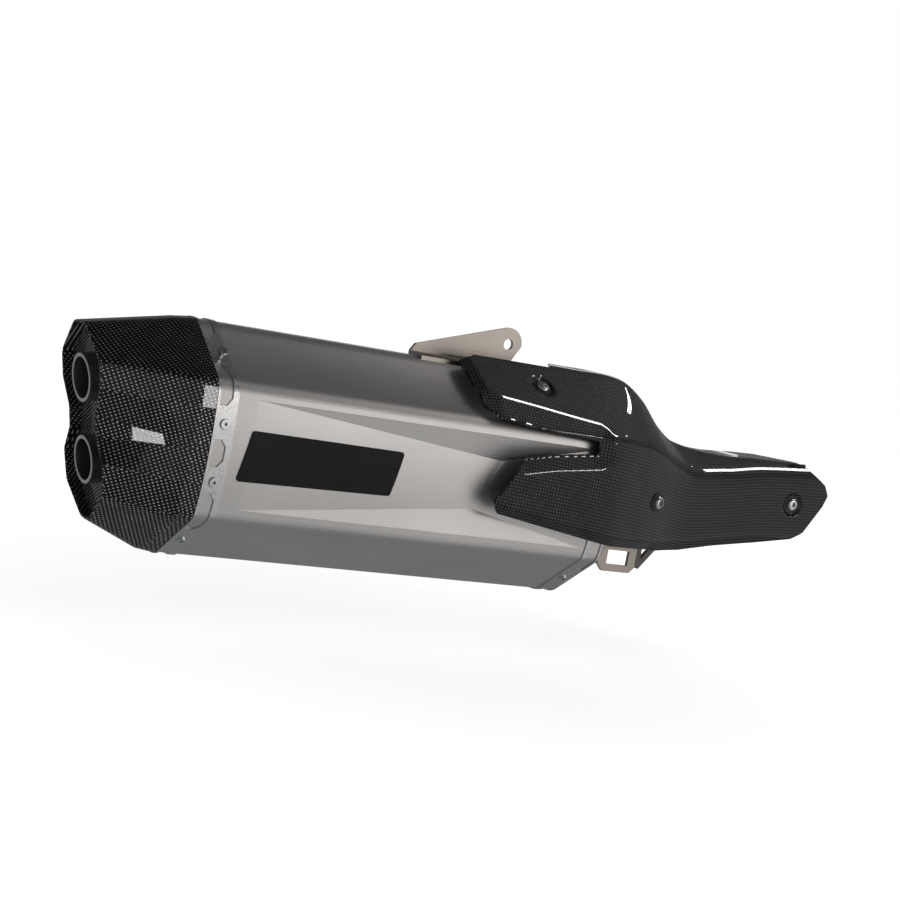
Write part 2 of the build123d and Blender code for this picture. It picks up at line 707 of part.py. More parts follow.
rear, front = BRACKET_ENDS
with BuildPart() as lower_bracket:
    with BuildSketch(side_view(BRACKET_Y)):
        with BuildLine():
            Polyline(
                (rear, BRACKET_TOP), (rear, -54), (rear + 6, -60),
                (front - 6, -60), (front, -54), (front, BRACKET_TOP), close=True,
            )
        make_face()
        with Locations(((rear + front) / 2, -48)):
            Rectangle(22, 12, mode=Mode.SUBTRACT)
    extrude(amount=-BRACKET_GAUGE)
    wing_plane = Plane(
        origin=(X(front), BRACKET_Y, -PIPE_RISE),
        x_dir=(math.cos(WING_ANGLE), math.sin(WING_ANGLE), 0),
        z_dir=(math.sin(WING_ANGLE), -math.cos(WING_ANGLE), 0),
    )
    with BuildSketch(wing_plane):
        with BuildLine():
            Polyline((-1, BRACKET_TOP), (-1, -54), (6, -56), (36, -40), (36, BRACKET_TOP), close=True)
        make_face()
        with BuildLine():
            Polyline((7, -35), (7, -48), (27, -37.5), (27, -35), close=True)
        make_face(mode=Mode.SUBTRACT)
    extrude(amount=-BRACKET_GAUGE)
    with BuildSketch(across(rear)):
        with BuildLine():
            Polyline(
                (BRACKET_Y, BRACKET_TOP), (BRACKET_Y, -54), (BRACKET_Y + 9, -54),
                (BRACKET_Y + 14, -49), (BRACKET_Y + 14, BRACKET_TOP), close=True,
            )
        make_face()
    extrude(amount=BRACKET_GAUGE)
    with BuildSketch(side_view(BRACKET_Y)):
        with Locations(((rear + front) / 2, BRACKET_TOP - BRACKET_GAUGE / 2)):
            Rectangle(front - rear, BRACKET_GAUGE)
    extrude(amount=-50)
    add(pipe_bar(PIPE_R + GAP / 2), mode=Mode.SUBTRACT)

# ---------------------------------------------------------------- heat shield
# One row for each station: the top's height, the shoulder's and the side's half widths,
# the side's upper and lower corners, and the hem's height.
SHIELD_ROWS = [
    (215, 98.5, 13.0, 79.5, 52, -8, -30),
    (345, 98.5, 13.0, 79.0, 51, -25, -47),
    (389, 97.0, 12.0, 69.0, 47, -28, -48),
    (413, 85.0, 11.0, 62.0, 42, -28, -48),
    (434, 65.0, 11.0, 55.5, 36, -27, -46),
    (455, 52.5, 13.0, 51.5, 31, -25, -44),
    (500, 47.5, 23.0, 48.5, 34, -18, -40),
    (541, 49.5, 30.0, 48.0, 39, -12, -34),
    (625, 52.5, 36.0, 48.0, 47, -8, -30),
]
SHIELD_STATIONS = [215, 335, 350, 365, 378, 389, 399, 408, 417, 426, 436, 447, 460, 478, 500, 520, 541, 625]
SHOULDER_RADIUS = 20
RIDGE_RADIUS = 20
SHARP_RIDGE = 7
BLUNT_STATION = 410  # where the ridge has its full radius
BLUNT_REACH = 110  # distance from there over which it sharpens
HEM_RADIUS = 18
SHIELD_WRAP = 30  # reach over the top before it is trimmed
HEM_TURN = 8


def shield_row(station):
    """The shield's row at any station, on a smooth curve through the rows."""
    stations = [row[0] for row in SHIELD_ROWS]
    index = min(max(sum(station >= s for s in stations) - 1, 0), len(stations) - 2)
    low, high = SHIELD_ROWS[index], SHIELD_ROWS[index + 1]
    before, after = SHIELD_ROWS[max(index - 1, 0)], SHIELD_ROWS[min(index + 2, len(stations) - 1)]
    span = high[0] - low[0]
    t = (station - low[0]) / span
    row = [station]
    for k in range(1, len(low)):
        slope_in = (high[k] - before[k]) / (high[0] - before[0])
        slope_out = (after[k] - low[k]) / (after[0] - low[0])
        row.append(
            low[k] * (2 * t**3 - 3 * t**2 + 1)
            + high[k] * (3 * t**2 - 2 * t**3)
            + span * slope_in * (t**3 - 2 * t**2 + t)
            + span * slope_out * (t**3 - t**2)
        )
    return row


def ridge_radius(station):
    """Radius of the shield's ridge: small along the slot and the nose, large over the bend."""
    away = min(1, abs(station - BLUNT_STATION) / BLUNT_REACH)
    return RIDGE_RADIUS - (RIDGE_RADIUS - SHARP_RIDGE) * away**2


def shield_profile(station, top, shoulder, side, side_top, side_bottom, hem):
    """Section of the heat shield's sheet: over the top, down the shoulder and the side, to the hem."""
    with BuildSketch(across(station)) as profile:
        with BuildLine():
            FilletPolyline(
                (SHIELD_WRAP, top),
                (-shoulder, top),
                (-side, side_top),
                (-side, side_bottom),
                (-side + HEM_TURN, hem),
                radius=(SHOULDER_RADIUS, ridge_radius(station), HEM_RADIUS),
            )
            offset(amount=CARBON, side=Side.LEFT, closed=True)
        make_face()
    return profile.sketch


UPPER_SCREW = (294, -37)  # station and y
MIDDLE_SCREW = (409.5, 4)  # station and z
FRONT_SCREW = (571, 15.6)


def shoulder_seat():
    """Plane on the outside of the shield's shoulder, at the upper screw."""
    station, y = UPPER_SCREW
    _, top, shoulder, side, side_top, _, _ = shield_row(station)
    run, drop = side - shoulder, top - side_top
    z = top - (-y - shoulder) * drop / run
    out = Vector(0, -drop, run).normalized()
    return Plane(origin=(X(station), y, z - PIPE_RISE), x_dir=(1, 0, 0), z_dir=out)


def side_seat(station, z):
    """Plane on the outside of the shield's side, at a screw."""
    step = 4
    before, here, after = (shield_row(station + d)[3] for d in (-step, 0, step))
    out = Vector((before - after) / (2 * step), -1, 0).normalized()
    return Plane(origin=(X(station), -here, z - PIPE_RISE), x_dir=(0, 0, 1), z_dir=out)


SCREW_SEATS = {
    "upper": shoulder_seat().offset(-CUP_DEPTH),
    "middle": side_seat(*MIDDLE_SCREW),
    "front": side_seat(*FRONT_SCREW).offset(-CUP_DEPTH),
}
CUPPED = ("upper", "front")

with BuildPart() as heat_shield:
    rows = [shield_profile(*shield_row(station)).face() for station in SHIELD_STATIONS]
    loft(sections=rows, ruled=True)
    with BuildSketch(side_view(-120)):
        with BuildLine():
            Polyline(
                (344, -34), (272, -24), (247, -20.5), (240, -10), (263, 26), (290, 31.5), (333, 37),
                (332, 48.5), (306, 51), (272, 54.7), (241, 57.6), (228, 64), (222, 93), (236, 96),
                (236, 120), (575, 120), (575, 57), (592, 45), (605, 36), (610, 27), (606, 17),
                (589, -8), (578, -15), (538, -22), (490, -29), (454, -35.5), (413, -38), (367, -37),
                close=True,
            )
        make_face()
    extrude(amount=-200, mode=Mode.INTERSECT)
    with BuildSketch(Plane(origin=(X(0), 0, -150))):
        with BuildLine():
            Polyline(
                (200, -120), (200, -15), (311, -15), (336, 22), (400, 22), (445, 16),
                (568, 12), (583, -20), (591, -38), (620, -50), (620, -120), close=True,
            )
        make_face()
    extrude(amount=300, mode=Mode.INTERSECT)
    for name, plane in SCREW_SEATS.items():
        if name in CUPPED:
            with BuildSketch(plane.offset(2 * CUP_DEPTH)):
                Circle(CUP_R)
            extrude(amount=-4 * CUP_DEPTH, mode=Mode.SUBTRACT)
            with BuildSketch(plane.offset(-CARBON)):
                Circle(CUP_R + CARBON)
            extrude(amount=CUP_DEPTH + 0.75 * CARBON)
            with BuildSketch(plane):
                Circle(CUP_R)
            extrude(amount=2 * CUP_DEPTH, mode=Mode.SUBTRACT)
        else:
            with BuildSketch(plane):
                Circle(WASHER_R + 5 * GAP)
            extrude(amount=2 * CARBON, mode=Mode.SUBTRACT)
        with BuildSketch(plane):
            Circle(SHIELD_HOLE_R)
        extrude(amount=20, both=True, mode=Mode.SUBTRACT)


def on_screws(rings):
    """A stack of rings at each of the shield's screws: outer and inner radius, from and to heights."""
    with BuildPart() as stack:
        for plane in SCREW_SEATS.values():
            for outer, inner, low, high in rings:
                with BuildSketch(plane.offset(low)):
                    Circle(outer)
                    Circle(inner, mode=Mode.SUBTRACT)
                extrude(amount=high - low)
    return stack


BUSH_BORE_R = SCREW_R + GAP
UNDER = -CARBON - BUSH_FLANGE  # face that a bush rests on
shield_bushes = on_screws(
    [
        (SHIELD_HOLE_R - GAP, BUSH_BORE_R, UNDER, 0),
        (BUSH_FLANGE_R, BUSH_BORE_R, UNDER, -CARBON),
    ]
)
shield_washers = on_screws([(WASHER_R, BUSH_BORE_R, 0, WASHER_GAUGE)])


def screw_head(plane):
    """Domed screw head that stands on a plane, with its socket."""
    with BuildPart() as head:
        with BuildSketch(plane):
            Circle(SCREW_HEAD_R)
        extrude(amount=SCREW_HEAD_HEIGHT)
        rings = head.edges().filter_by(GeomType.CIRCLE)
        fillet(rings.sort_by_distance(plane.origin)[-1], SCREW_HEAD_ROUNDING)
        with BuildSketch(plane.offset(SCREW_HEAD_HEIGHT)):
            RegularPolygon(SCREW_SOCKET_R, 6)
        extrude(amount=-SCREW_SOCKET_DEPTH, mode=Mode.SUBTRACT)
    return head.part


SCREW_REACH = {"upper": 5.1, "middle": 9.5, "front": 9.5}  # below the shield's seat
with BuildPart() as shield_screws:
    for name, plane in SCREW_SEATS.items():
        add(screw_head(plane.offset(WASHER_GAUGE)))
        with BuildSketch(plane.offset(WASHER_GAUGE)):
            Circle(SCREW_R)
        extrude(amount=-WASHER_GAUGE - SCREW_REACH[name])

SHANK_BORE_R = SCREW_R + GAP / 2
with BuildPart() as upper_shield_boss:
    with BuildSketch(SCREW_SEATS["upper"].offset(UNDER)):
        Circle(BOSS_R)
        Circle(SHANK_BORE_R, mode=Mode.SUBTRACT)
    extrude(amount=-NUT_HEIGHT)
    add(body(0, 270, 320), mode=Mode.SUBTRACT)


def shield_bracket(name, tail):
    """Pad under a bush, with a welded nut, on a leg that stands on the pipe at the end of its tail."""
    pad = SCREW_SEATS[name].offset(UNDER)
    with BuildPart() as bracket:
        with BuildSketch(pad):
            with Locations((0, (tail - PAD_FRONT) / 2)):
                Rectangle(PAD_WIDTH, tail + PAD_FRONT)
            Circle(SHANK_BORE_R, mode=Mode.SUBTRACT)
        extrude(amount=-PAD_GAUGE)
        with BuildSketch(pad):
            with Locations((0, tail - PAD_GAUGE / 2)):
                Rectangle(PAD_WIDTH, PAD_GAUGE)
        extrude(amount=-PIPE_R)
        with BuildSketch(pad.offset(-PAD_GAUGE)):
            Circle(NUT_R)
            Circle(SHANK_BORE_R, mode=Mode.SUBTRACT)
        extrude(amount=-NUT_HEIGHT)
        add(pipe_bar(PIPE_R + GAP / 2), mode=Mode.SUBTRACT)
    return bracket


middle_shield_bracket = shield_bracket("middle", 9)
front_shield_bracket = shield_bracket("front", 35)

# ---------------------------------------------------------------- one file for each piece
pieces = {
    "outer_sleeve": outer_sleeve,
    "rear_band": rear_band,
    "front_band": front_band,
    "rear_rivets": rear_rivets,
    "front_rivets": front_rivets,
    "name_badge": name_badge,
    "end_cap": end_cap,
    "outlet_tube_upper": outlet_tube_upper,
    "outlet_tube_lower": outlet_tube_lower,
    "rear_bulkhead": rear_bulkhead,
    "mid_baffle": mid_baffle,
    "perforated_core": perforated_core,
    "steel_wool_wrap": steel_wool_wrap,
    "damping_wool": damping_wool,
    "front_cap": front_cap,
    "link_pipe": link_pipe,
    "inlet_sleeve": inlet_sleeve,
    "weld_beads": weld_beads,
    "clamp_band": clamp_band,
    "clamp_nut": clamp_nut,
    "clamp_washer": clamp_washer,
    "clamp_bolt": clamp_bolt,
    "hanger_plate": hanger_plate,
    "lower_bracket": lower_bracket,
    "heat_shield": heat_shield,
    "shield_bushes": shield_bushes,
    "shield_washers": shield_washers,
    "shield_screws": shield_screws,
    "upper_shield_boss": upper_shield_boss,
    "middle_shield_bracket": middle_shield_bracket,
    "front_shield_bracket": front_shield_bracket,
}
for name, piece in pieces.items():
    piece.part.label = name
    export_step(piece.part, f"parts/{name}.step")
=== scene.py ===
"""Looks of a twin-outlet racing silencer with its link pipe and heat shield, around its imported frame.

Metres, in the row frame: +X runs out of the inlet, +Z is up, and the outer side is -Y.
A station runs forward along the silencer from the joint between its sleeve and its end cap.
"""
import math

import bmesh
import bpy
from mathutils import Matrix, Vector
from mathutils.geometry import tessellate_polygon


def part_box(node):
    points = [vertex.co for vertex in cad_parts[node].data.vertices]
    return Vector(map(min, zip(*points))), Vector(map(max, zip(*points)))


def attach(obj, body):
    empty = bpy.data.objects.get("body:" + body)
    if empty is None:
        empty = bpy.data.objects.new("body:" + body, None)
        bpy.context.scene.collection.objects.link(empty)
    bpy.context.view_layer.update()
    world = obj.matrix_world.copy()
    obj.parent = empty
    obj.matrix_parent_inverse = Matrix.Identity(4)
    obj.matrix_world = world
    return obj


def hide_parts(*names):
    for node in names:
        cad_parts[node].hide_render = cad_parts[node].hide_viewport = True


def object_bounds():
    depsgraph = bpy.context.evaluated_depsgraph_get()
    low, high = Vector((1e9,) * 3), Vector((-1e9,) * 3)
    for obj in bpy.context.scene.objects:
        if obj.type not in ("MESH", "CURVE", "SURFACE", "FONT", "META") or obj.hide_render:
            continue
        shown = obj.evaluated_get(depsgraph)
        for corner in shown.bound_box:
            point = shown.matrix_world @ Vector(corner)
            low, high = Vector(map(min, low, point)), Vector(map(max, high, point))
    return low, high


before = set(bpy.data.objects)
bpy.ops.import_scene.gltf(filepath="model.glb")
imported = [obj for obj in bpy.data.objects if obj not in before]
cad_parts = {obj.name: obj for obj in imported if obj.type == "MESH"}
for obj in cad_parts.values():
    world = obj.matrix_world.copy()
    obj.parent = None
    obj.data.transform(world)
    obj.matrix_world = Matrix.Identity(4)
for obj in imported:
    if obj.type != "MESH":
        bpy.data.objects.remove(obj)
cad_low, cad_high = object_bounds()

MM = 0.001
SLEEVE_LOW, SLEEVE_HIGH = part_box("outer_sleeve")
JOINT_X = SLEEVE_LOW.x
AXIS_Z = SLEEVE_HIGH.z - 88 * MM


def place(station, y, z):
    """Point of the row frame at a station, in millimetres from the joint and the silencer's axis."""
    return Vector((JOINT_X + station * MM, y * MM, AXIS_Z + z * MM))


# ---------------------------------------------------------------- camera, light and floor
CAMERA_PLACE = Vector((-1.1938, -1.3018, 0.1203))
CAMERA_RIGHT = Vector((0.8315, -0.5239, 0.1845))
CAMERA_UP = Vector((-0.1151, 0.1625, 0.9800))
CAMERA_FORWARD = Vector((0.5434, 0.8361, -0.0749))
FLOOR_DROP = 45 * MM  # the part hovers this far over the floor
FLOOR_REACH = 30
PAINTED_SHADE_GLOW, FAR_GLOW = 0.8, 0.95  # the floor glows by itself, less so under the part: a painted shade there
NEAR_REACH, FAR_REACH = 0.2, 0.6  # the painted shade fades out between these distances from the object's middle


def make_camera():
    data = bpy.data.cameras.new("camera")
    data.lens = 78
    data.clip_end = 100
    camera = bpy.data.objects.new("camera", data)
    bpy.context.scene.collection.objects.link(camera)
    turn = Matrix((CAMERA_RIGHT, CAMERA_UP, -CAMERA_FORWARD)).transposed()
    camera.matrix_world = Matrix.Translation(CAMERA_PLACE) @ turn.to_4x4()
    bpy.context.scene.camera = camera


def softbox(name, place_at, aim, width, height, radiance):
    """Rectangular soft light facing a point of the object; both places are from the object's middle."""
    middle = (cad_low + cad_high) / 2
    data = bpy.data.lights.new(name, "AREA")
    data.shape = "RECTANGLE"
    data.size = width
    data.size_y = height
    data.energy = radiance * math.pi * width * height
    lamp = bpy.data.objects.new(name, data)
    lamp.location = middle + Vector(place_at)
    toward = middle + Vector(aim) - lamp.location
    lamp.rotation_euler = toward.to_track_quat("-Z", "Y").to_euler()
    bpy.context.scene.collection.objects.link(lamp)
    return lamp


def light_only(lamp, pieces, state="INCLUDE"):
    """Lets a light fall on some pieces only, or on everything but them."""
    receivers = bpy.data.collections.new(lamp.name + "_on")
    for piece in pieces:
        receivers.objects.link(piece)
    for entry in receivers.collection_objects:
        entry.light_linking.link_state = state
    lamp.light_linking.receiver_collection = receivers


def make_world():
    """Even pale studio: white behind the object, and a dimmer surround for light and reflections."""
    world = bpy.data.worlds.new("studio")
    world.use_nodes = True
    tree = world.node_tree
    tree.nodes.clear()
    surround = tree.nodes.new("ShaderNodeBackground")
    surround.inputs["Color"].default_value = (0.9, 0.95, 1.0, 1)
    direction = tree.nodes.new("ShaderNodeTexCoord")
    apart = tree.nodes.new("ShaderNodeSeparateXYZ")
    dimmer = tree.nodes.new("ShaderNodeMapRange")
    for socket, number in (("From Min", 0.1), ("From Max", 0.75), ("To Min", 0.22), ("To Max", 0.07)):
        dimmer.inputs[socket].default_value = number
    tree.links.new(direction.outputs["Generated"], apart.inputs[0])
    tree.links.new(apart.outputs["Z"], dimmer.inputs["Value"])
    tree.links.new(dimmer.outputs[0], surround.inputs["Strength"])
    behind = tree.nodes.new("ShaderNodeBackground")
    behind.inputs["Color"].default_value = (1, 1, 1, 1)
    path = tree.nodes.new("ShaderNodeLightPath")
    mix = tree.nodes.new("ShaderNodeMixShader")
    out = tree.nodes.new("ShaderNodeOutputWorld")
    tree.links.new(path.outputs["Is Camera Ray"], mix.inputs["Fac"])
    tree.links.new(surround.outputs[0], mix.inputs[1])
    tree.links.new(behind.outputs[0], mix.inputs[2])
    tree.links.new(mix.outputs[0], out.inputs["Surface"])
    bpy.context.scene.world = world


# ---------------------------------------------------------------- materials
class Recipe:
    """A material's node tree, with short ways to add what every recipe needs."""

    def __init__(self, name):
        self.material = bpy.data.materials.new(name)
        self.material.use_nodes = True
        self.tree = self.material.node_tree
        self.tree.nodes.clear()
        out = self.tree.nodes.new("ShaderNodeOutputMaterial")
        self.surface = self.tree.nodes.new("ShaderNodeBsdfPrincipled")
        self.tree.links.new(self.surface.outputs[0], out.inputs["Surface"])

    def put(self, node, socket, value):
        """Links or sets a socket."""
        if isinstance(value, bpy.types.NodeSocket):
            self.tree.links.new(value, node.inputs[socket])
        else:
            node.inputs[socket].default_value = value

    def finish(self, **sockets):
        """Sets the surface's sockets; an underscore in a name stands for a space."""
        for name, value in sockets.items():
            self.put(self.surface, name.replace("_", " "), value)
        return self.material

    def place(self):
        """The surface point in metres, in the piece's own frame."""
        return self.tree.nodes.new("ShaderNodeTexCoord").outputs["Object"]

    def weave_map(self):
        node = self.tree.nodes.new("ShaderNodeUVMap")
        node.uv_map = "weave"
        return node.outputs["UV"]

    def split(self, vector):
        node = self.tree.nodes.new("ShaderNodeSeparateXYZ")
        self.put(node, 0, vector)
        return node.outputs[0], node.outputs[1], node.outputs[2]

    def join(self, x, y, z=0.0):
        node = self.tree.nodes.new("ShaderNodeCombineXYZ")
        for socket, value in enumerate((x, y, z)):
            self.put(node, socket, value)
        return node.outputs[0]

    def math(self, operation, first, second=0.0):
        node = self.tree.nodes.new("ShaderNodeMath")
        node.operation = operation
        self.put(node, 0, first)
        self.put(node, 1, second)
        return node.outputs[0]

    def stretch(self, vector, scale):
        node = self.tree.nodes.new("ShaderNodeMapping")
        self.put(node, "Vector", vector)
        node.inputs["Scale"].default_value = scale
        return node.outputs[0]

    def noise(self, vector, scale, detail=2.0, roughness=0.5):
        node = self.tree.nodes.new("ShaderNodeTexNoise")
        self.put(node, "Vector", vector)
        node.inputs["Scale"].default_value = scale
        node.inputs["Detail"].default_value = detail
        node.inputs["Roughness"].default_value = roughness
        return node.outputs["Fac"]

    def ranged(self, value, low, high, to_low=0.0, to_high=1.0):
        """Value from one range to another, held at its ends."""
        node = self.tree.nodes.new("ShaderNodeMapRange")
        self.put(node, "Value", value)
        limits = (("From Min", low), ("From Max", high), ("To Min", to_low), ("To Max", to_high))
        for socket, number in limits:
            node.inputs[socket].default_value = number
        return node.outputs[0]

    def blend(self, share, first, second):
        """Colour between two colours."""
        node = self.tree.nodes.new("ShaderNodeMix")
        node.data_type = "RGBA"
        self.put(node, "Factor", share)
        for socket, value in ((6, first), (7, second)):
            if isinstance(value, bpy.types.NodeSocket):
                self.tree.links.new(value, node.inputs[socket])
            else:
                node.inputs[socket].default_value = (*value, 1)
        return node.outputs[2]

    def bump(self, height, strength, distance):
        node = self.tree.nodes.new("ShaderNodeBump")
        self.put(node, "Height", height)
        node.inputs["Strength"].default_value = strength
        node.inputs["Distance"].default_value = distance
        return node.outputs[0]


def metal(name, dark, light, rough, grain, grain_rough, blotch=9.0, speckle=0.0, speckle_scale=600.0):
    """Bare metal: slow blotches of colour, a fine grain drawn out along one axis, and speckle if asked."""
    r = Recipe(name)
    point = r.place()
    slow = r.noise(point, blotch, 3)
    fine = r.noise(r.stretch(point, grain), 1.0, 4, 0.65)
    tone = r.math("ADD", r.math("MULTIPLY", slow, 0.6), r.math("MULTIPLY", fine, 0.4))
    colour = r.blend(r.ranged(tone, 0.3, 0.7), dark, light)
    roughness = r.ranged(fine, 0.25, 0.75, rough - grain_rough, rough + grain_rough)
    height = fine
    if speckle:
        grit = r.noise(point, speckle_scale, 2, 0.7)
        colour = r.blend(r.ranged(grit, 0.52, 0.72, 0.0, speckle), colour, tuple(c * 0.35 for c in dark))
        height = r.math("ADD", height, r.math("MULTIPLY", grit, 0.8))
    return r.finish(
        Base_Color=colour, Metallic=1.0, Roughness=roughness, Normal=r.bump(height, 0.12, 0.0003)
    )


def lipped_steel(name, dark, light, rim):
    """Outlet tube: dark heat-stained steel, with a painted highlight: a thin bright ring is painted into the
    colour at its mouth.
    """
    r = Recipe(name)
    point = r.place()
    slow = r.noise(point, 22, 3)
    fine = r.noise(point, 700, 3, 0.6)
    lean = math.radians(RIM_LEAN)
    x, _, z = r.split(point)
    mouth = place(RIM_STATION, 0, 0)
    ahead = r.math("MULTIPLY", r.math("SUBTRACT", x, mouth.x), math.cos(lean))
    depth = r.math("ADD", ahead, r.math("MULTIPLY", r.math("SUBTRACT", z, mouth.z), math.sin(lean)))
    # Painted highlight: a ring about a millimetre wide at the mouth takes the rim colour.
    mouth_highlight = r.ranged(depth, 0.3 * MM, 1.2 * MM, 1, 0)
    tone = r.math("ADD", r.math("MULTIPLY", slow, 0.7), r.math("MULTIPLY", fine, 0.3))
    colour = r.blend(mouth_highlight, r.blend(r.ranged(tone, 0.35, 0.65), dark, light), rim)
    return r.finish(
        Base_Color=colour, Metallic=1.0, Roughness=r.ranged(fine, 0.3, 0.7, 0.34, 0.46),
        Normal=r.bump(fine, 0.12, 0.0002),
    )


def carbon(name, pitch, turn, bright, dim, under, metallic, lacquer, straight_from=None):
    """Plain-weave carbon under clear lacquer, with straight rows beyond a length along the piece if asked.
    Its colour carries a painted sheen: bright spots on the tows that lie on top, bright stripes along the
    straight rows and slightly lighter crowns on the tows that lie under stand in for the tows' reflection.
    """
    r = Recipe(name)
    u, v, _ = r.split(r.weave_map())
    cos, sin = math.cos(math.radians(turn)), math.sin(math.radians(turn))
    turned_u = r.math("ADD", r.math("MULTIPLY", u, cos), r.math("MULTIPLY", v, sin))
    turned_v = r.math("SUBTRACT", r.math("MULTIPLY", v, cos), r.math("MULTIPLY", u, sin))
    along = r.math("MULTIPLY", turned_u, 1 / pitch[0])
    around = r.math("MULTIPLY", turned_v, 1 / pitch[1])
    warp = r.math("ADD", along, around)
    weft = r.math("SUBTRACT", along, around)
    cell = r.math("ADD", r.math("FLOOR", warp), r.math("FLOOR", weft))
    over = r.math("GREATER_THAN", r.math("FRACT", r.math("MULTIPLY", cell, 0.5)), 0.25)
    arch_u = r.math("SINE", r.math("MULTIPLY", r.math("FRACT", warp), math.pi))
    arch_v = r.math("SINE", r.math("MULTIPLY", r.math("FRACT", weft), math.pi))
    height_u = r.math("MULTIPLY", r.math("MULTIPLY", arch_v, r.ranged(arch_u, 0, 1, 0.3, 1)), over)
    height_v = r.math(
        "MULTIPLY", r.math("MULTIPLY", arch_u, r.ranged(arch_v, 0, 1, 0.3, 1)), r.math("SUBTRACT", 1.0, over)
    )
    height = r.math("ADD", height_u, height_v)
    uneven = r.noise(r.join(warp, weft), 0.13, 2)
    # Painted sheen: the tows lying on top are painted as bright spots.
    sheen_dots = r.math("MULTIPLY", r.math("POWER", height_u, 3.0), r.ranged(uneven, 0.3, 0.7, 0.6, 1.2))
    if straight_from is not None:
        row = r.math("ABSOLUTE", r.math("SINE", r.math("MULTIPLY", around, math.pi)))
        # Painted sheen: the straight rows are painted as bright stripes.
        sheen_lines = r.math("MULTIPLY", r.math("POWER", row, 2.0), 0.3)
        share = r.ranged(u, straight_from, straight_from + 0.06)
        sheen_dots = r.math("MULTIPLY", sheen_dots, r.math("SUBTRACT", 1.0, share))
        sheen_dots = r.math("ADD", sheen_dots, r.math("MULTIPLY", sheen_lines, share))
    # Painted sheen: the crowns of the tows lying under are a little lighter than the gaps between tows.
    shade = r.blend(r.math("POWER", height_v, 1.5), (under, under, under), (dim, dim, dim))
    colour = r.blend(sheen_dots, shade, (bright, bright * 0.99, bright * 0.98))
    return r.finish(
        Base_Color=colour,
        Metallic=metallic,
        Roughness=r.ranged(height, 0, 1, 0.55, 0.45),
        Normal=r.bump(height, 0.4, 0.0003),
        Specular_IOR_Level=0.05,
        Coat_Weight=lacquer,
        Coat_Roughness=0.02,
        Coat_IOR=1.5,
    )


def wool(name, dark, light, scale):
    """Matted fibres."""
    r = Recipe(name)
    point = r.place()
    strands = r.noise(r.stretch(point, (scale * 0.2, scale, scale)), 1.0, 6, 0.7)
    clumps = r.noise(point, 40, 3)
    colour = r.blend(r.math("MULTIPLY", strands, r.ranged(clumps, 0.3, 0.7, 0.6, 1.4)), dark, light)
    return r.finish(Base_Color=colour, Roughness=0.95, Normal=r.bump(strands, 0.8, 0.001))


def rubber(name, tone, rough, sheen=0.5):
    """Moulded or painted black, with a faint grain."""
    r = Recipe(name)
    point = r.place()
    grain = r.noise(point, 900, 3, 0.6)
    slow = r.noise(point, 25, 2)
    colour = r.blend(
        r.math("MULTIPLY", grain, r.ranged(slow, 0.3, 0.7, 0.7, 1.2)),
        tuple(c * 0.5 for c in tone),
        tuple(c * 1.6 for c in tone),
    )
    return r.finish(
        Base_Color=colour,
        Roughness=r.ranged(grain, 0.3, 0.7, rough - 0.06, rough + 0.08),
        Specular_IOR_Level=sheen,
        Normal=r.bump(grain, 0.15, 0.0002),
    )


def make_materials():
    lengthwise = (14, 700, 700)
    even = (500, 500, 500)
    return {
        "titanium": metal("titanium", (0.61, 0.58, 0.55), (0.75, 0.71, 0.68), 0.48, lengthwise, 0.04),
        "band_metal": metal(
            "band_metal", (0.6, 0.58, 0.56), (0.78, 0.76, 0.74), 0.36, even, 0.06, 20, 0.5
        ),
        "rivet_metal": metal("rivet_metal", (0.55, 0.55, 0.54), (0.75, 0.75, 0.74), 0.18, even, 0.05),
        # Carbon's fourth number is the brightness of its painted sheen.
        "carbon": carbon("carbon", (3.1 * MM, 2.4 * MM), -27, 0.6, 0.01, 0.003, 0.75, 0.5),
        "carbon_fine": carbon(
            "carbon_fine", (2.8 * MM, 2.6 * MM), 0, 0.12, 0.007, 0.003, 0.15, 0.7, 0.14
        ),
        "badge_black": rubber("badge_black", (0.009, 0.009, 0.009), 0.42, 0.12),
        # The last colour is the painted highlight at the outlets' mouths.
        "outlet_steel": lipped_steel(
            "outlet_steel", (0.26, 0.26, 0.25), (0.5, 0.49, 0.48), (0.8, 0.79, 0.77)
        ),
        "inner_steel": metal("inner_steel", (0.35, 0.33, 0.30), (0.5, 0.48, 0.45), 0.4, even, 0.06),
        "wool": wool("wool", (0.32, 0.29, 0.2), (0.75, 0.7, 0.55), 900),
        "steel_wool": wool("steel_wool", (0.12, 0.12, 0.12), (0.45, 0.45, 0.44), 1400),
        "pipe_metal": metal("pipe_metal", (0.42, 0.38, 0.31), (0.58, 0.53, 0.45), 0.28, lengthwise, 0.05),
        "weld_metal": metal("weld_metal", (0.25, 0.22, 0.2), (0.5, 0.45, 0.4), 0.35, even, 0.08),
        "clamp_steel": metal("clamp_steel", (0.5, 0.5, 0.5), (0.66, 0.66, 0.65), 0.26, even, 0.06),
        "bracket_metal": metal("bracket_metal", (0.3, 0.265, 0.23), (0.42, 0.37, 0.325), 0.36, even, 0.06),
        "screw_metal": metal("screw_metal", (0.5, 0.5, 0.5), (0.72, 0.72, 0.71), 0.22, even, 0.05),
        "silicone": rubber("silicone", (0.02, 0.02, 0.02), 0.6),
    }


def paint_frame(materials):
    """Gives every CAD node the finish of its own slot."""
    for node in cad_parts.values():
        for index, worn in enumerate(node.data.materials):
            name = worn.name.split(".")[0]
            node.material_slots[index].link = "OBJECT"
            node.material_slots[index].material = materials[name]


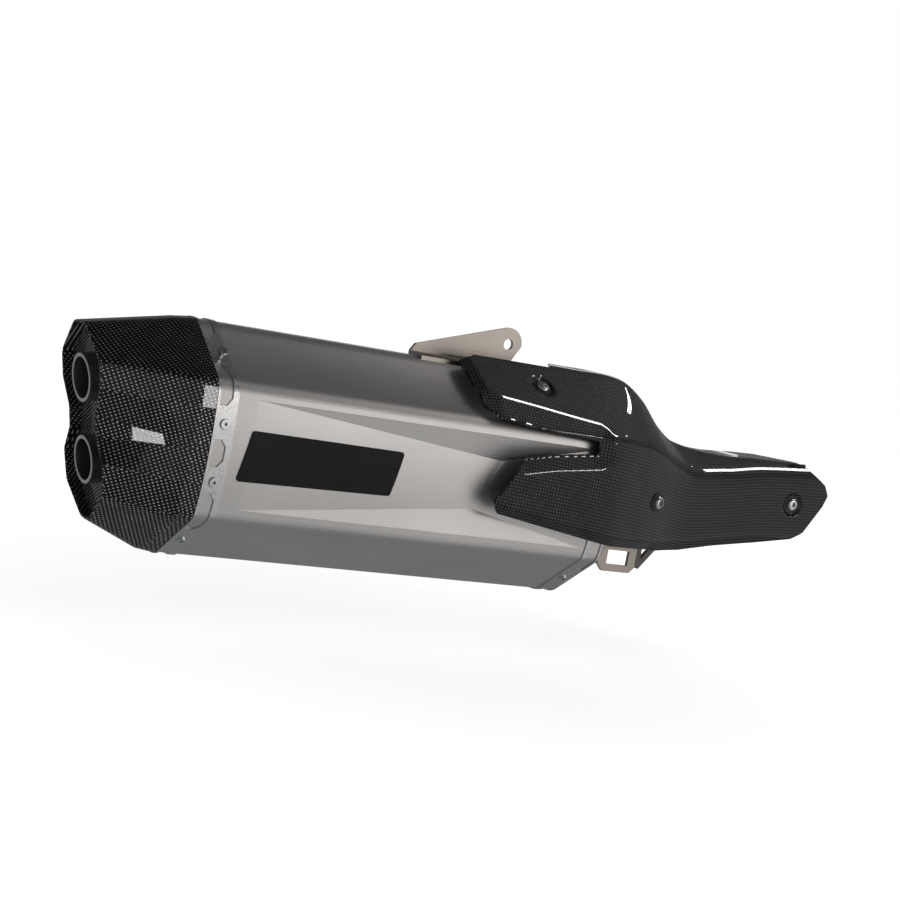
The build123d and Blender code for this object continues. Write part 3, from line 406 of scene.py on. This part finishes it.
def make_floor():
    """Plain pale floor that glows by itself, with a painted shade: it glows less near the object's middle."""
    middle = (cad_low + cad_high) / 2
    mesh = bpy.data.meshes.new("floor")
    corners = [
        (middle.x + x * FLOOR_REACH, middle.y + y * FLOOR_REACH, 0)
        for x, y in ((-1, -1), (1, -1), (1, 1), (-1, 1))
    ]
    mesh.from_pydata(corners, [], [(0, 1, 2, 3)])
    floor = bpy.data.objects.new("floor", mesh)
    floor.location.z = cad_low.z - FLOOR_DROP
    bpy.context.scene.collection.objects.link(floor)
    r = Recipe("floor")
    apart = r.tree.nodes.new("ShaderNodeVectorMath")
    apart.operation = "DISTANCE"
    r.put(apart, 0, r.place())
    r.put(apart, 1, (middle.x, middle.y, 0))
    # Painted shade: the floor's own glow drops near the object's middle.
    glow = r.ranged(apart.outputs["Value"], NEAR_REACH, FAR_REACH, PAINTED_SHADE_GLOW, FAR_GLOW)
    r.finish(
        Base_Color=(0.8, 0.8, 0.8, 1), Roughness=0.9, Emission_Color=(1, 1, 1, 1), Emission_Strength=glow
    )
    floor.data.materials.append(r.material)
    floor.visible_glossy = False
    floor.visible_shadow = False


# ---------------------------------------------------------------- shapes
def rounded(corners, radii, steps):
    """Lists of points along a polyline whose inner corners are rounded: one list for each arc."""
    arcs = []
    for before, corner, after, radius in zip(corners, corners[1:], corners[2:], radii):
        before, corner, after = Vector(before), Vector(corner), Vector(after)
        toward = (corner - before).normalized()
        away = (after - corner).normalized()
        turn = toward.angle_signed(away)
        reach = radius * abs(math.tan(turn / 2))
        start = corner - toward * reach
        centre = start + Vector((toward.y, -toward.x)) * math.copysign(radius, turn)
        spoke = start - centre
        arcs.append([centre + Matrix.Rotation(-turn * k / steps, 2) @ spoke for k in range(steps + 1)])
    return arcs


def outside(point, outline):
    """Distance of a point outside a closed outline, negative inside it."""
    nearest = 1e9
    inside = False
    x, y = point
    for (ax, ay), (bx, by) in zip(outline, outline[1:] + outline[:1]):
        if (ay > y) != (by > y) and x < ax + (bx - ax) * (y - ay) / (by - ay):
            inside = not inside
        nearest = min(nearest, reach_of(x, y, ax, ay, bx, by))
    return -nearest if inside else nearest


def reach_of(x, y, ax, ay, bx, by):
    """Distance of a point from a straight run."""
    run_x, run_y = bx - ax, by - ay
    share = ((x - ax) * run_x + (y - ay) * run_y) / (run_x * run_x + run_y * run_y)
    share = min(1, max(0, share))
    return math.hypot(x - ax - share * run_x, y - ay - share * run_y)


def from_line(point, line):
    """Distance of a point from an open line."""
    return min(reach_of(*point, *a, *b) for a, b in zip(line, line[1:]))


def smooth(value):
    value = min(1, max(0, value))
    return value * value * (3 - 2 * value)


def make_piece(name, vertices, faces, maps, material, slot, *replaced, sharp=38):
    """A mesh piece from points, faces and each face's weave coordinates, all in metres."""
    mesh = bpy.data.meshes.new(name)
    mesh.from_pydata([tuple(v) for v in vertices], [], faces)
    layer = mesh.uv_layers.new(name="weave")
    for polygon, corners in zip(mesh.polygons, maps):
        for loop, (u, v) in zip(polygon.loop_indices, corners):
            layer.data[loop].uv = (u, v)
    mesh.shade_smooth()
    mesh.set_sharp_from_angle(angle=math.radians(sharp))
    mesh.materials.append(material)
    piece = bpy.data.objects.new(name, mesh)
    bpy.context.scene.collection.objects.link(piece)
    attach(piece, "silencer")
    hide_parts(*replaced)
    return piece


# ---------------------------------------------------------------- heat shield
SHEET = 2.0  # carbon sheet, millimetres
ROUND = 0.45  # rounding of the sheet's edges
# Station, top's height, shoulder's and side's half widths, side's upper and lower corners, hem's height.
SHIELD_ROWS = [
    (215, 98.5, 13.0, 79.5, 52, -8, -30),
    (345, 98.5, 13.0, 79.0, 51, -25, -47),
    (389, 97.0, 12.0, 69.0, 47, -28, -48),
    (413, 85.0, 11.0, 62.0, 42, -28, -48),
    (434, 65.0, 11.0, 55.5, 36, -27, -46),
    (455, 52.5, 13.0, 51.5, 31, -25, -44),
    (500, 47.5, 23.0, 48.5, 34, -18, -40),
    (541, 49.5, 30.0, 48.0, 39, -12, -34),
    (625, 52.5, 36.0, 48.0, 47, -8, -30),
]
SHOULDER_RADIUS = 20
SHARP_RIDGE = 10  # radius along the slot
BLUNT_RIDGE = 22  # radius over the bend and the nose
HEM_RADIUS = 18
SHIELD_WRAP = 30
SIDE_MIDDLE = 100  # the profile point halfway down the side
HEM_TURN = 8
SHIELD_START, SHIELD_END = 218, 612
GRID_PITCH = 1.5
BLUNT_FROM, BLUNT_OVER = 300, 130  # the ridge softens over this run of stations
# The slot between the shield's two lobes, from the upper lobe's tip to the lower lobe's.
SLOT = [(228, 64), (241, 57.6), (272, 54.7), (306, 51), (332, 48.5), (333, 37), (290, 31.5), (263, 26)]
LOWER_EDGE = [(240, -10), (247, -20.5), (272, -24), (344, -34), (367, -37), (413, -38)]
UPPER_EDGE = [(222, 93), (228, 64)]
SHIELD_SIDE = (
    SLOT
    + LOWER_EDGE
    + [(454, -35.5), (490, -29), (538, -22), (578, -15), (589, -8), (606, 17), (610, 27), (605, 36)]
    + [(592, 45), (575, 57), (575, 120), (236, 120), (236, 96), (222, 93)]
)
SHIELD_PLAN = [
    (200, -120), (200, -15), (311, -15), (336, 22), (400, 22), (445, 16), (568, 12), (583, -20),
    (591, -38), (620, -50), (620, -120),
]
SLOT_DIP = 5.0  # how far the sheet drops towards the slot
SLOT_BEVEL = 12.5
EDGE_DIP = 3.0
EDGE_BEVEL = 9.0
CUP_R = 9.5
CUP_DEPTH = 3.0
SCREW_HOLE_R = 4.0
UPPER_SCREW = (294, -37)  # station and y
SIDE_SCREWS = ((409.5, 4, 0), (571, 15.6, CUP_DEPTH))  # station, height and cup's depth


def shield_row(station):
    """The shield's row at any station, on a smooth curve through the rows."""
    index = min(max(sum(station >= row[0] for row in SHIELD_ROWS) - 1, 0), len(SHIELD_ROWS) - 2)
    low, high = SHIELD_ROWS[index], SHIELD_ROWS[index + 1]
    before = SHIELD_ROWS[max(index - 1, 0)]
    after = SHIELD_ROWS[min(index + 2, len(SHIELD_ROWS) - 1)]
    span = high[0] - low[0]
    t = (station - low[0]) / span
    row = []
    for k in range(1, len(low)):
        slope_in = (high[k] - before[k]) / (high[0] - before[0])
        slope_out = (after[k] - low[k]) / (after[0] - low[0])
        row.append(
            low[k] * (2 * t**3 - 3 * t**2 + 1)
            + high[k] * (3 * t**2 - 2 * t**3)
            + span * slope_in * (t**3 - 2 * t**2 + t)
            + span * slope_out * (t**3 - t**2)
        )
    row[2] = min(row[2], SHIELD_ROWS[0][3] - 0.1)
    return row


def shield_profile(station):
    """Points across the shield at a station, from over the top down to the hem."""
    top, shoulder, side, side_top, side_bottom, hem = shield_row(station)
    corners = [
        (SHIELD_WRAP, top), (-shoulder, top), (-side, side_top), (-side, side_bottom),
        (-side + HEM_TURN, hem),
    ]
    ridge = SHARP_RIDGE + (BLUNT_RIDGE - SHARP_RIDGE) * smooth((station - BLUNT_FROM) / BLUNT_OVER)
    arcs = rounded(corners, (SHOULDER_RADIUS, ridge, HEM_RADIUS), 12)
    points = [Vector(corners[0])]
    for arc, between in zip(arcs + [[Vector(corners[-1])]], (24, 30, 44, 10)):
        start = points[-1]
        points += [start.lerp(arc[0], k / between) for k in range(1, between)]
        points += arc
    return points


def shield_seats():
    """Each screw's place and outward direction, and how deep its cup is."""
    station, y = UPPER_SCREW
    top, shoulder, side, side_top, _, _ = shield_row(station)
    run, drop = side - shoulder, top - side_top
    z = top - (-y - shoulder) * drop / run
    seats = [(Vector((station, y, z)), Vector((0, -drop, run)).normalized(), CUP_DEPTH)]
    for station, z, depth in SIDE_SCREWS:
        before, here, after = (shield_row(station + d)[2] for d in (-4, 0, 4))
        out = Vector(((before - after) / 8, -1, 0)).normalized()
        seats.append((Vector((station, -here, z)), out, depth))
    return seats


def make_shield(material):
    length = SHIELD_END - SHIELD_START
    count = round(length / GRID_PITCH)
    stations = [SHIELD_START + k * length / count for k in range(count + 1)]
    profiles = [shield_profile(station) for station in stations]
    across_count = len(profiles[0])
    rest = [[Vector((s, p.x, p.y)) for p in row] for s, row in zip(stations, profiles)]
    seats = shield_seats()

    run = [0.0]
    for here, after in zip(rest, rest[1:]):
        run.append(run[-1] + (after[SIDE_MIDDLE] - here[SIDE_MIDDLE]).length)
    spots, normals, gaps, weave = [], [], [], []
    for i, row in enumerate(rest):
        below, above = rest[max(i - 1, 0)], rest[min(i + 1, count)]
        around = [0.0]
        for here, after in zip(row, row[1:]):
            around.append(around[-1] + (after - here).length)
        for j, spot in enumerate(row):
            left, right = row[max(j - 1, 0)], row[min(j + 1, across_count - 1)]
            normal = (right - left).cross(above[j] - below[j]).normalized()
            side_spot = (spot.x, spot.z)
            gap = max(outside(side_spot, SHIELD_SIDE), outside((spot.x, spot.y), SHIELD_PLAN)) + ROUND
            dip = SLOT_DIP * min(1, max(0, 1 - from_line(side_spot, SLOT) / SLOT_BEVEL))
            edge = min(from_line(side_spot, LOWER_EDGE), from_line(side_spot, UPPER_EDGE))
            dip = max(dip, EDGE_DIP * min(1, max(0, 1 - edge / EDGE_BEVEL)))
            moved = spot - normal * dip
            for seat, out, depth in seats:
                rise = (moved - seat).dot(out)
                off = (moved - seat - out * rise).length
                if abs(rise) < 12:
                    gap = max(gap, SCREW_HOLE_R - off)
                    if depth:
                        moved = moved - out * (rise + depth) * (1 - smooth((off - CUP_R + 1) / 2.5))
            spots.append(moved)
            normals.append(normal)
            gaps.append(gap)
            weave.append((run[i] * MM, (around[j] - around[SIDE_MIDDLE]) * MM))
    cut = trimmed(spots, normals, gaps, weave, count + 1, across_count)
    return make_piece("heat_shield_carbon", *cut, material, "carbon", "heat_shield")


def trimmed(spots, normals, gaps, weave, rows, columns):
    """A sheet of even thickness from a grid of points, cut where the gap is above zero."""
    kept = {}
    outer, facing, mapped = [], [], []

    def keep(index):
        if index not in kept:
            kept[index] = len(outer)
            outer.append(spots[index])
            facing.append(normals[index])
            mapped.append(weave[index])
        return kept[index]

    def crossing(a, b):
        key = (min(a, b), max(a, b))
        if key not in kept:
            a, b = key
            share = gaps[a] / (gaps[a] - gaps[b])
            kept[key] = len(outer)
            outer.append(spots[a].lerp(spots[b], share))
            facing.append(normals[a].lerp(normals[b], share).normalized())
            mapped.append(tuple(p + (q - p) * share for p, q in zip(weave[a], weave[b])))
        return kept[key]

    skin, rim = [], []
    for i in range(rows - 1):
        for j in range(columns - 1):
            base = i * columns + j
            ring = [base, base + 1, base + columns + 1, base + columns]
            if all(gaps[k] > 0 for k in ring):
                continue
            face, cuts = [], []
            for a, b in zip(ring, ring[1:] + ring[:1]):
                if gaps[a] <= 0:
                    face.append(keep(a))
                if (gaps[a] > 0) != (gaps[b] > 0):
                    cuts.append(len(face))
                    face.append(crossing(a, b))
            if len(face) > 2:
                skin.append(face)
                for n, start in enumerate(cuts):
                    end = cuts[(n + 1) % len(cuts)]
                    if (start + 1) % len(face) == end:
                        rim.append((face[start], face[end]))
    return thicken(outer, facing, mapped, skin, rim)


def thicken(outer, facing, mapped, skin, rim):
    """Closes a cut skin into a sheet with rounded edges."""
    size = len(outer)
    push = {}
    for a, b in rim:
        away = (outer[b] - outer[a]).cross(facing[a])
        for k in (a, b):
            push[k] = push.get(k, Vector()) + away
    for k in push:
        push[k] = push[k].normalized() * ROUND
    vertices = list(outer) + [p - n * SHEET for p, n in zip(outer, facing)]
    above, below = {}, {}
    for k, away in push.items():
        above[k] = len(vertices)
        vertices.append(outer[k] + away - facing[k] * ROUND)
        below[k] = len(vertices)
        vertices.append(outer[k] + away - facing[k] * (SHEET - ROUND))
    faces = skin + [[k + size for k in reversed(f)] for f in skin]
    maps = [[mapped[k] for k in f] for f in skin] + [[mapped[k] for k in reversed(f)] for f in skin]
    for a, b in rim:
        for low, high in (({a: a, b: b}, above), (above, below), (below, {a: a + size, b: b + size})):
            faces.append([low[b], low[a], high[a], high[b]])
            maps.append([mapped[b], mapped[a], mapped[a], mapped[b]])
    return [place(*v) for v in vertices], faces, maps


# ---------------------------------------------------------------- end cap
CAP_SKIRT = 14
RIM_STATION = -69
RIM_LEAN = 11.8
RIM_RECESS = 8.5
CAP_WALL = 2.0
OUTLET_R = 17.5
OUTLET_HEIGHTS = (33.7, -25.5)  # up the rim's own plane
# Half outlines, from the top's edge down to the bottom's, with each corner's radius.
RIM_HALF = [(11, 74.5), (37.5, 49.5), (37, 30), (26, 10), (26, -5), (38.5, -23), (35.5, -46), (8, -69)]
RIM_RADII = [12, 12, 6, 4, 4, 3, 10, 12]
SKIRT_HALF = [
    (10, 86.8), (64.98, 50.5), (67.53, 30), (68.48, 5), (68.37, 0), (66.42, -24), (61.9, -49.5),
    (8, -84.5),
]
JOINT_HALF = [(10, 88.5)] + SKIRT_HALF[1:-1] + [(8, -86.5)]
SKIRT_RADII = [18, 12, 20, 8, 8, 8, 12, 18]
CORNER_STEPS = 6
TAPER_ROWS = 24
OUTLET_GAP = 0.2


def rim_place(y, up, depth=0.0):
    """Point on the rim's leaning plane, in the silencer's millimetres, or at a depth behind it."""
    lean = math.radians(RIM_LEAN)
    return Vector((
        RIM_STATION - up * math.sin(lean) + depth * math.cos(lean),
        y,
        up * math.cos(lean) + depth * math.sin(lean),
    ))


def loop_through(half, radii):
    """Closed outline through a half outline and its mirror image, with a list of points for each corner."""
    whole = half + [(-y, z) for y, z in reversed(half)]
    turns = radii + radii[::-1]
    corners = whole[-1:] + whole + whole[:1]
    return [p for arc in rounded(corners, turns, CORNER_STEPS) for p in arc]


def inward(loop, amount):
    """A closed outline moved in."""
    moved = []
    for before, here, after in zip(loop[-1:] + loop[:-1], loop, loop[1:] + loop[:1]):
        run = (after - before).normalized()
        moved.append(here + Vector((run.y, -run.x)) * amount)
    return moved


def facet_frames(rim_half, skirt_half):
    """For each facet of the taper: its middle, its direction towards the rim and its direction around."""
    def whole(half):
        return half + [(-y, z) for y, z in reversed(half)]

    frames = []
    rim, skirt = whole(rim_half), whole(skirt_half)
    for k in range(len(rim)):
        start, end = Vector((-CAP_SKIRT, *skirt[k - 1])), Vector((-CAP_SKIRT, *skirt[k]))
        origin = (start + end) / 2
        along = ((rim_place(*rim[k - 1]) + rim_place(*rim[k])) / 2 - origin).normalized()
        around = (end - start - along * (end - start).dot(along)).normalized()
        frames.append((origin, along, around))
    return frames


def facet_of(step):
    """The facet that a step around the outline belongs to: an arc is shared by its two facets."""
    corner, part = divmod(step, CORNER_STEPS + 1)
    return (corner if part < CORNER_STEPS / 2 else corner + 1) % (2 * len(RIM_HALF))


def circle_at(height, radius, depth, steps=48):
    """Circle around an outlet, on a plane behind the rim's."""
    turns = [2 * math.pi * k / steps for k in range(steps)]
    return [rim_place(radius * math.cos(t), height + radius * math.sin(t), depth) for t in turns]


def make_cap(material):
    rim, skirt = loop_through(RIM_HALF, RIM_RADII), loop_through(SKIRT_HALF, SKIRT_RADII)
    joint = loop_through(JOINT_HALF, SKIRT_RADII)
    count = len(rim)
    tapers = [rim_place(r.x, r.y) - Vector((-CAP_SKIRT, s.x, s.y)) for r, s in zip(rim, skirt)]
    frames = facet_frames(RIM_HALF, SKIRT_HALF)

    def straight(inset, station):
        share = -station / CAP_SKIRT
        return [
            Vector((station, *a.lerp(b, share))) for a, b in zip(inward(joint, inset), inward(skirt, inset))
        ]

    def leaning(inset, depth):
        return [rim_place(p.x, p.y, depth) for p in inward(rim, inset)]

    rings = [("skirt", straight(3.5, 0)), ("skirt", straight(0.35, 0)), ("skirt", straight(0, -0.35))]
    rings += [("skirt", straight(0, -CAP_SKIRT * k / 4)) for k in range(1, 4)]
    for k in range(TAPER_ROWS):
        share = k / TAPER_ROWS
        start = straight(0, -CAP_SKIRT)
        rings.append(("taper", [p + run * share for p, run in zip(start, tapers)]))
    for inset, depth in ((-0.02, 0.9), (0.15, 0.25), (0.6, 0.0), (CAP_WALL - 0.5, 0.0), (CAP_WALL, 0.5)):
        rings.append(("rim", leaning(inset, depth)))
    rings += [("wall", leaning(CAP_WALL, RIM_RECESS * k / 3)) for k in (1, 2, 3)]
    floor_ring = len(rings) - 1
    back_depth = RIM_RECESS + CAP_WALL
    inner_start, inner_rim = straight(CAP_WALL, -CAP_SKIRT), leaning(CAP_WALL, 0)
    for share in (0.81, 0.4, 0.0):
        rings.append(("inner", [a.lerp(b, share) for a, b in zip(inner_start, inner_rim)]))
    rings.append(("inner", rings[0][1]))

    vertices = [p for _, ring in rings[:-1] for p in ring]
    starts = [k * count for k in range(len(rings) - 1)] + [0]

    def mapped(kind, facet, point):
        if kind == "skirt":
            origin, _, around = frames[facet]
            return (-(point - origin).x, (point - origin).dot(around))
        if kind in ("taper", "inner"):
            origin, along, around = frames[facet]
            return ((point - origin).dot(along), (point - origin).dot(around))
        if kind == "wall":
            return (point.x, point.y + point.z)
        return (point.y, point.z)

    faces, maps = [], []
    for k in range(len(rings) - 1):
        if k == floor_ring:
            continue
        kind = rings[k + 1][0] if rings[k + 1][0] != "skirt" and rings[k][0] != "taper" else rings[k][0]
        for step in range(count):
            after = (step + 1) % count
            face = [starts[k] + step, starts[k] + after, starts[k + 1] + after, starts[k + 1] + step]
            faces.append(face)
            maps.append([mapped(kind, facet_of(step), vertices[v]) for v in face])

    holes = {}
    for depth, ring in ((RIM_RECESS, floor_ring), (back_depth, floor_ring + 1)):
        loops = [vertices[starts[ring]:starts[ring] + count]]
        indices = list(range(starts[ring], starts[ring] + count))
        for height in OUTLET_HEIGHTS:
            circle = circle_at(height, OUTLET_R + OUTLET_GAP, depth)
            first = len(vertices)
            vertices += circle
            holes.setdefault(height, []).append(range(first, first + len(circle)))
            loops.append(circle)
            indices += range(first, first + len(circle))
        flat = [[Vector((p.y, p.z, 0)) for p in loop] for loop in loops]
        for triangle in tessellate_polygon(flat):
            faces.append([indices[v] for v in triangle])
            maps.append([mapped("floor", 0, vertices[v]) for v in faces[-1]])
    for front, back in holes.values():
        for k in range(len(front)):
            after = (k + 1) % len(front)
            faces.append([front[k], front[after], back[after], back[k]])
            maps.append([mapped("wall", 0, vertices[v]) for v in faces[-1]])
    maps = [[(u * MM, v * MM) for u, v in corners] for corners in maps]
    cap = make_piece(
        "end_cap_carbon", [place(*v) for v in vertices], faces, maps, material, "carbon", "end_cap", sharp=28
    )
    face_outward(cap)
    return cap


def face_outward(piece):
    """Turns a closed piece's faces to point out."""
    mesh = bmesh.new()
    mesh.from_mesh(piece.data)
    bmesh.ops.recalc_face_normals(mesh, faces=mesh.faces)
    mesh.to_mesh(piece.data)
    mesh.free()


make_camera()
make_world()
make_floor()
materials = make_materials()
paint_frame(materials)
shield = make_shield(materials["carbon_fine"])
cap = make_cap(materials["carbon"])

# Each light's place and the point that it faces, from the object's middle, its width, height and radiance.
STUDIO_LIGHTS = {
    "key_light": ((1.1, -1.8, -0.05), (0, 0, 0), 1.7, 1.5, 0.66),
    "band_strip": ((1.05, -1.75, 0.38), (0, 0, 0), 1.2, 0.12, 7),
    "low_light": ((1.3, -1.35, -1.5), (0, 0, 0), 1.8, 1.0, 0.45),
    "over_light": ((1.4, -0.5, 1.4), (0, 0, 0), 0.9, 1.4, 0.9),
}
BACK_LIGHT = ((0.9, 1.4, 0.5), (0, 0, 0), 0.9, 0.5, 1.3)
# The lacquer has its own lights: a wide one for its side, and small ones for its glints.
WIDE_LIGHT = ((0.9, -2.4, 0.1), (0, 0, 0), 16, 4, 0.3)
SHIELD_GLINTS = {
    "ridge_light": ((1.2, -0.04, 1.51), (0.2, 0, 0), 0.3, 0.55, 30),
    "bend_light": ((1.5, 0.41, 1.13), (0.12, 0, 0), 0.035, 0.045, 30),
    "lobe_light": ((0.97, -1.46, 0.69), (0.07, 0, 0), 0.35, 0.16, 20),
}
CAP_GLINTS = {
    "skirt_light": ((0.51, -1.66, 0.30), (-0.27, 0, 0), 0.2, 0.3, 16),
    "facet_light": ((-0.588, -0.275, -0.122), (-0.302, -0.045, -0.0175), 0.03, 0.03, 20),
}
studio_lamps = [softbox(name, *light) for name, light in STUDIO_LIGHTS.items()]
softbox("back_glow", *BACK_LIGHT)
wide_lamp = softbox("wide_light", *WIDE_LIGHT)
glints = [(softbox(name, *light), shield) for name, light in SHIELD_GLINTS.items()]
glints += [(softbox(name, *light), cap) for name, light in CAP_GLINTS.items()]
for lamp in studio_lamps:
    light_only(lamp, (shield, cap), "EXCLUDE")
light_only(wide_lamp, (shield, cap))
for lamp, piece in glints:
    light_only(lamp, (piece,))
    lamp.visible_diffuse = False
bpy.context.scene.view_settings.view_transform = "Standard"
